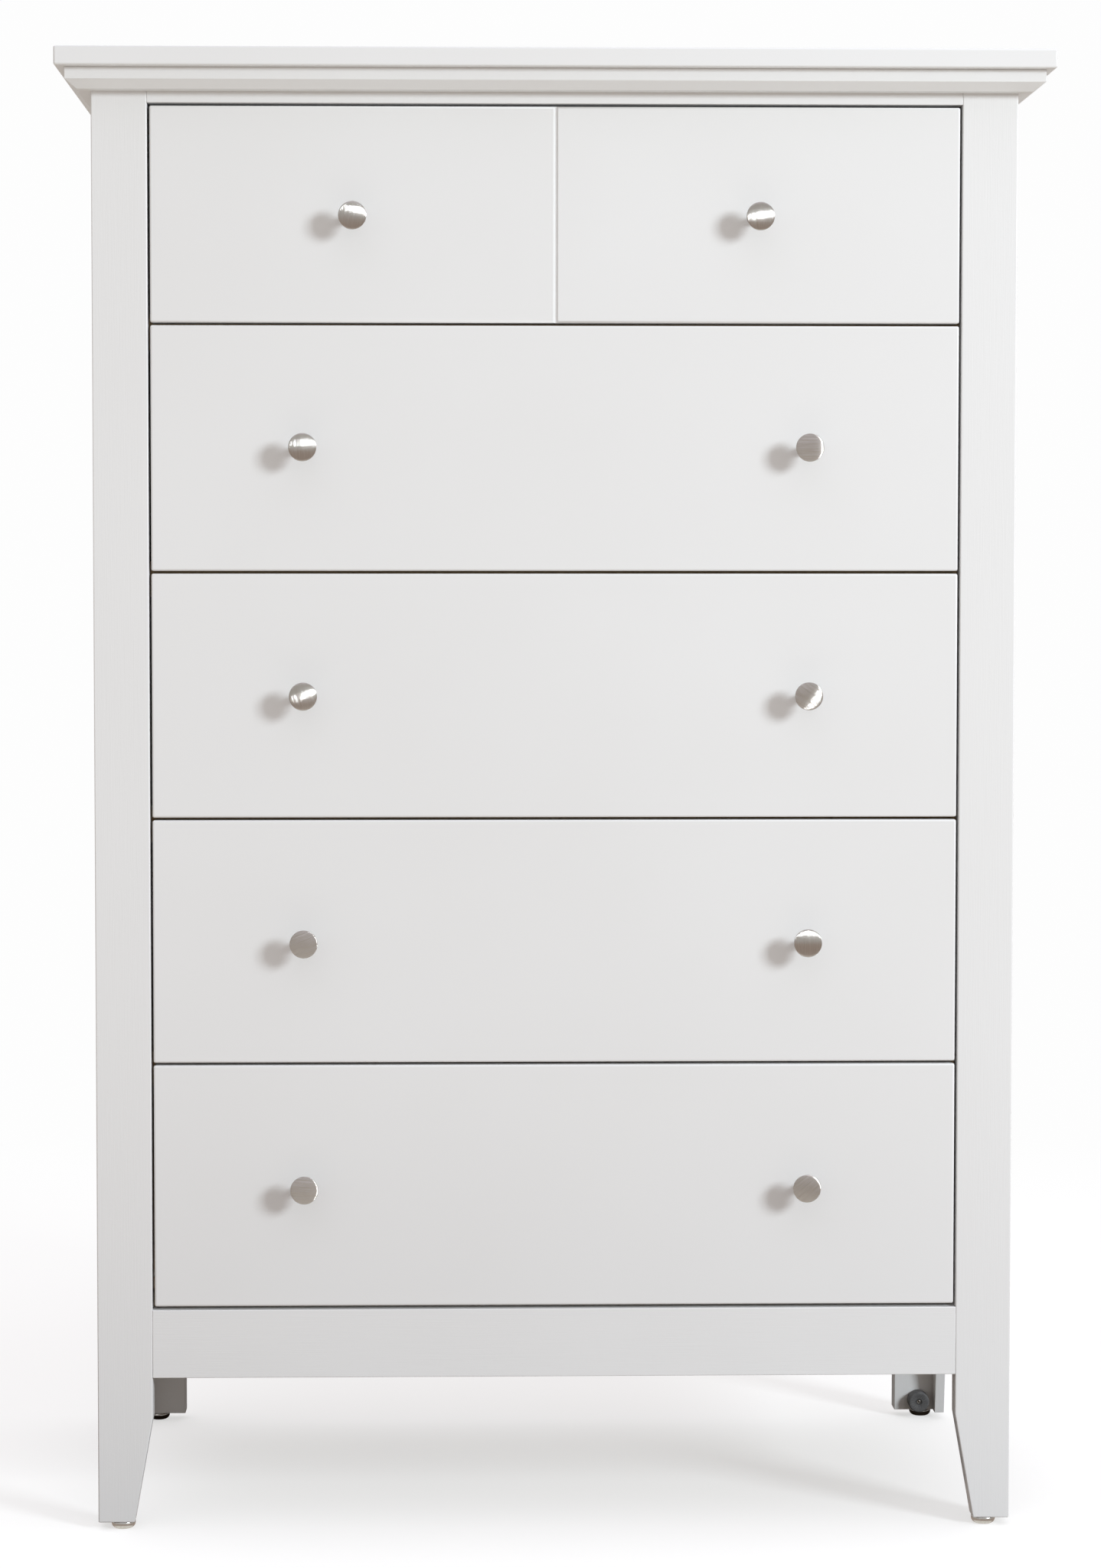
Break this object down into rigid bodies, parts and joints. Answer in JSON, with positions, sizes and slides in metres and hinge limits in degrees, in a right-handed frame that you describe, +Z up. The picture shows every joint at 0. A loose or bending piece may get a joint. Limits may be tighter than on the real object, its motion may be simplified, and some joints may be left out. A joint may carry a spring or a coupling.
{
  "type": "tall chest of drawers",
  "caption": "Tall narrow white chest of full-width inset drawers with round metal knobs, moulded top and tapered legs; the top front is grooved to look like two drawers.",
  "frame": {"origin": "floor level, under the middle of the top panel", "axes": "+Z up, +X to the right when facing the drawer fronts, +Y towards the back; the drawers open towards -Y"},
  "size_m": [0.813, 0.419, 1.219],
  "materials": {
    "white_lacquer": "satin white lacquer",
    "raw_birch": "clear-sealed birch plywood",
    "hardboard": "plain hardboard",
    "zinc_steel": "bright zinc plate",
    "nickel": "turned and brushed nickel plate",
    "rubber": "matt black"
  },
  "bodies": {
    "case": {"top_panel": "white_lacquer", "top_moulding_front": "white_lacquer", "top_moulding_left": "white_lacquer", "top_moulding_right": "white_lacquer", "front_leg_left": "white_lacquer", "front_leg_right": "white_lacquer", "rear_leg_left": "white_lacquer", "rear_leg_right": "white_lacquer", "side_panel_left": "white_lacquer", "side_panel_right": "white_lacquer", "top_front_rail": "white_lacquer", "apron": "white_lacquer", "drawer_rail_1": "white_lacquer", "drawer_rail_2": "white_lacquer", "drawer_rail_3": "white_lacquer", "drawer_rail_4": "white_lacquer", "bottom_rail": "white_lacquer", "rear_top_rail": "raw_birch", "rear_bottom_rail": "raw_birch", "back_panel": "hardboard", "foot_glide_front_left": "nickel", "foot_glide_front_right": "nickel", "foot_glide_rear_left": "nickel", "foot_glide_rear_right": "nickel", "rubber_bumper": "rubber", "centre_rail_1": "zinc_steel", "centre_rail_2": "zinc_steel", "centre_rail_3": "zinc_steel", "centre_rail_4": "zinc_steel", "centre_rail_5": "zinc_steel"},
    "drawer_1": {"drawer_front_1": "white_lacquer", "drawer_box_1": "raw_birch", "drawer_bottom_1": "raw_birch", "drawer_runner_1": "zinc_steel", "knob_left_1": "nickel", "knob_right_1": "nickel"},
    "drawer_2": {"drawer_front_2": "white_lacquer", "drawer_box_2": "raw_birch", "drawer_bottom_2": "raw_birch", "drawer_runner_2": "zinc_steel", "knob_left_2": "nickel", "knob_right_2": "nickel"},
    "drawer_3": {"drawer_front_3": "white_lacquer", "drawer_box_3": "raw_birch", "drawer_bottom_3": "raw_birch", "drawer_runner_3": "zinc_steel", "knob_left_3": "nickel", "knob_right_3": "nickel"},
    "drawer_4": {"drawer_front_4": "white_lacquer", "drawer_box_4": "raw_birch", "drawer_bottom_4": "raw_birch", "drawer_runner_4": "zinc_steel", "knob_left_4": "nickel", "knob_right_4": "nickel"},
    "drawer_5": {"drawer_front_5": "white_lacquer", "drawer_box_5": "raw_birch", "drawer_bottom_5": "raw_birch", "drawer_runner_5": "zinc_steel", "knob_left_5": "nickel", "knob_right_5": "nickel"}
  },
  "joints": [
    {"name": "drawer_1_slide", "type": "slide", "parent": "case", "child": "drawer_1", "axis": [0, -1, 0], "range_m": [0, 0.26]},
    {"name": "drawer_2_slide", "type": "slide", "parent": "case", "child": "drawer_2", "axis": [0, -1, 0], "range_m": [0, 0.26]},
    {"name": "drawer_3_slide", "type": "slide", "parent": "case", "child": "drawer_3", "axis": [0, -1, 0], "range_m": [0, 0.26]},
    {"name": "drawer_4_slide", "type": "slide", "parent": "case", "child": "drawer_4", "axis": [0, -1, 0], "range_m": [0, 0.26]},
    {"name": "drawer_5_slide", "type": "slide", "parent": "case", "child": "drawer_5", "axis": [0, -1, 0], "range_m": [0, 0.26]}
  ]
}
